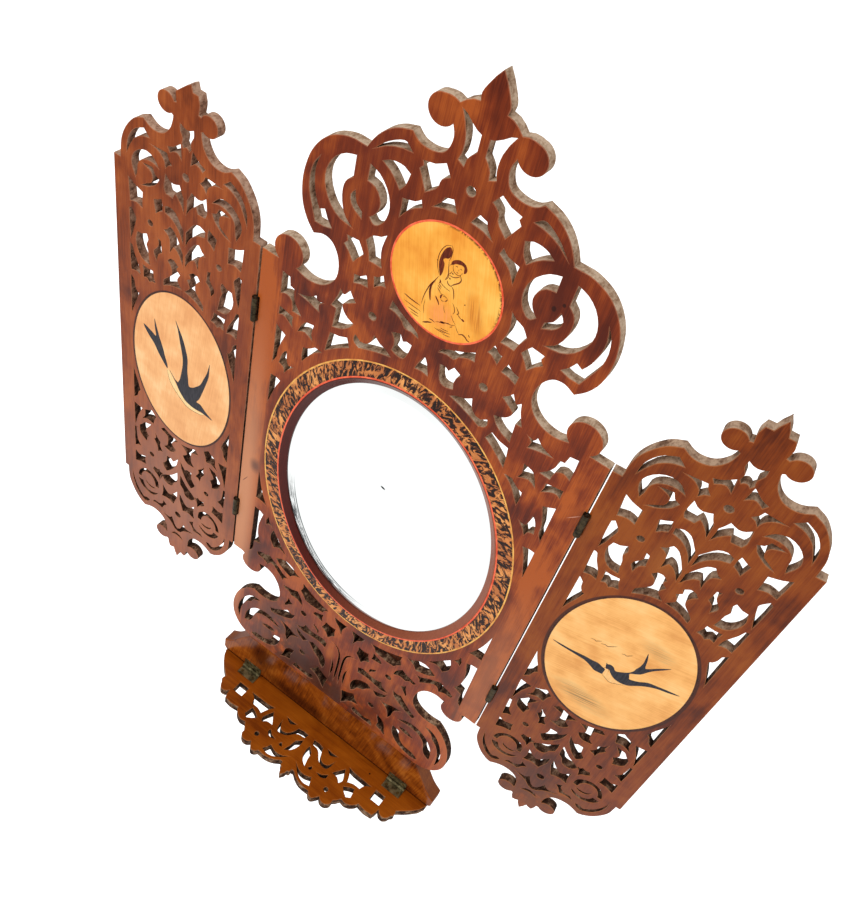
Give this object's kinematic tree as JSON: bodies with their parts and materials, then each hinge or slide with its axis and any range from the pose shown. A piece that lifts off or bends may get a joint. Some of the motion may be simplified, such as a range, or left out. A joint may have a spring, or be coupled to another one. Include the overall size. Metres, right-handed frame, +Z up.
{
  "type": "triptych vanity mirror",
  "caption": "Wall-hung folding triptych mirror of fretsawn walnut: an oval bevelled glass between two inlaid wings on butt hinges, over a fretted shelf that folds up.",
  "frame": {"origin": "centre of the round hole of the hanging plate, on the plate's back face", "axes": "+Z up, +X to the viewer's right, -Y out of the front of the centre panel"},
  "size_m": [0.5016, 0.0851, 0.6674],
  "materials": {
    "fretted_walnut": "polished walnut with dusty sawn walls",
    "shelf_walnut": "polished walnut",
    "base_walnut": "glossy golden-brown walnut",
    "dark_slip": "dark polished mahogany",
    "red_string": "polished orange-red inlay",
    "burl_veneer": "polished mottled burl veneer",
    "yellow_string": "polished pale yellow inlay",
    "mirror_glass": "silvered bevelled glass",
    "backing_wood": "plain unpolished wood",
    "crest_maple": "polished orange maple",
    "wing_maple": "polished cream maple",
    "dark_string": "polished dark inlay",
    "hinge_brass": "oxidised brass, rubbed bright on the knuckles",
    "pin_steel": "dull drawn wire",
    "screw_brass": "oxidised brass",
    "plate_brass": "dull brass"
  },
  "bodies": {
    "base": {"centre_panel": "fretted_walnut", "base_board": "base_walnut", "apron_backing": "backing_wood", "mirror_slip": "dark_slip", "red_line": "red_string", "burl_band": "burl_veneer", "yellow_line": "yellow_string", "mirror_glass": "mirror_glass", "mirror_backing": "backing_wood", "backing_screws": "screw_brass", "crest_medallion": "crest_maple", "crest_line": "red_string", "hanging_plate": "plate_brass", "hanging_plate_screws": "screw_brass", "left_low_hinge_fixed_leaf": "hinge_brass", "left_low_hinge_pin": "pin_steel", "left_high_hinge_fixed_leaf": "hinge_brass", "left_high_hinge_pin": "pin_steel", "right_low_hinge_fixed_leaf": "hinge_brass", "right_low_hinge_pin": "pin_steel", "right_high_hinge_fixed_leaf": "hinge_brass", "right_high_hinge_pin": "pin_steel", "post_hinge_screws": "screw_brass", "left_shelf_hinge_fixed_leaf": "hinge_brass", "left_shelf_hinge_pin": "pin_steel", "right_shelf_hinge_fixed_leaf": "hinge_brass", "right_shelf_hinge_pin": "pin_steel", "base_hinge_screws": "screw_brass"},
    "left_wing": {"left_wing_panel": "fretted_walnut", "left_wing_medallion": "wing_maple", "left_wing_line": "dark_string", "left_low_hinge_moving_leaf": "hinge_brass", "left_high_hinge_moving_leaf": "hinge_brass", "left_wing_hinge_screws": "screw_brass"},
    "right_wing": {"right_wing_panel": "fretted_walnut", "right_wing_medallion": "wing_maple", "right_wing_line": "dark_string", "right_low_hinge_moving_leaf": "hinge_brass", "right_high_hinge_moving_leaf": "hinge_brass", "right_wing_hinge_screws": "screw_brass"},
    "shelf": {"shelf_panel": "shelf_walnut", "left_shelf_hinge_moving_leaf": "hinge_brass", "right_shelf_hinge_moving_leaf": "hinge_brass", "shelf_hinge_screws": "screw_brass"}
  },
  "joints": [
    {"name": "left_wing_hinge", "type": "hinge", "parent": "base", "child": "left_wing", "pos_m": [-0.1258, -0.0092, -0.206], "axis": [0, 0, 1], "range_deg": [-8, 176]},
    {"name": "right_wing_hinge", "type": "hinge", "parent": "base", "child": "right_wing", "pos_m": [0.1258, -0.0092, -0.206], "axis": [0, 0, -1], "range_deg": [-2, 182]},
    {"name": "shelf_hinge", "type": "hinge", "parent": "base", "child": "shelf", "pos_m": [0, -0.0101, -0.534], "axis": [-1, 0, 0], "range_deg": [0, 90]}
  ]
}
